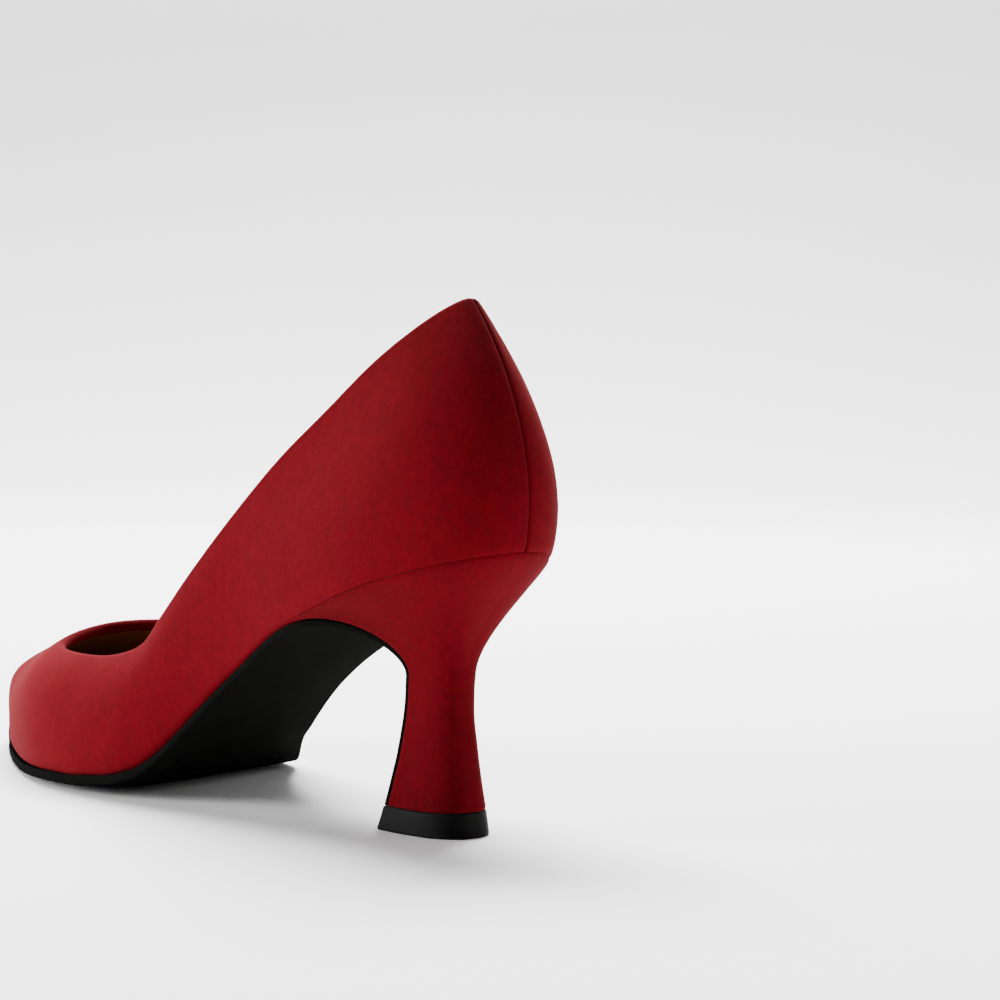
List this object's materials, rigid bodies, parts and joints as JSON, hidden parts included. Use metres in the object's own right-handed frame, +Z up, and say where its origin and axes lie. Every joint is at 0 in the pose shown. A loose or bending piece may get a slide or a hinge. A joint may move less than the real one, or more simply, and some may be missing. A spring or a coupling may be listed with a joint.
{
  "type": "high heel pump",
  "caption": "Closed-toe suede pump for the left foot with a low-cut opening, a flared covered heel and a black sole that runs down the heel breast.",
  "frame": {"origin": "on the floor under the middle of the bounding box, the shoe standing on its tread and top piece", "axes": "+Z up, toe towards -Y, outer (lateral) side of the left foot towards +X"},
  "size_m": [0.0744, 0.2388, 0.1218],
  "materials": {
    "suede": "matt napped suede",
    "heel_suede": "matt napped suede",
    "lining": "smooth lining leather",
    "sock": "smooth lining leather",
    "foam": "soft latex foam",
    "stiffener": "heat-formed board",
    "interlining": "fused cotton",
    "tape": "nylon tape",
    "fibreboard": "pressed board",
    "filler": "cork paste",
    "steel": "bright",
    "heel_plastic": "moulded ABS",
    "sole": "smooth satin black",
    "top_piece": "matt black polyurethane"
  },
  "bodies": {
    "root": {"upper_vamp": "suede", "medial_quarter": "suede", "heel_grip": "lining", "lateral_quarter_lining": "lining", "vamp_lining": "lining", "medial_quarter_lining": "lining", "heel_counter": "stiffener", "toe_puff": "stiffener", "lateral_interlining": "interlining", "medial_interlining": "interlining", "topline_tape": "tape", "back_seam_tape": "tape", "insole_board": "fibreboard", "sock_foam": "foam", "sock_lining": "sock", "forepart_filler": "filler", "shank_board": "fibreboard", "steel_shank": "steel", "shank_rivets": "steel", "heel_cover": "heel_suede", "heel_block": "heel_plastic", "heel_tube": "steel", "top_piece_dowel": "steel", "heel_screw": "steel", "heel_nails": "steel", "top_piece": "top_piece", "outsole": "sole"}
  },
  "joints": []
}
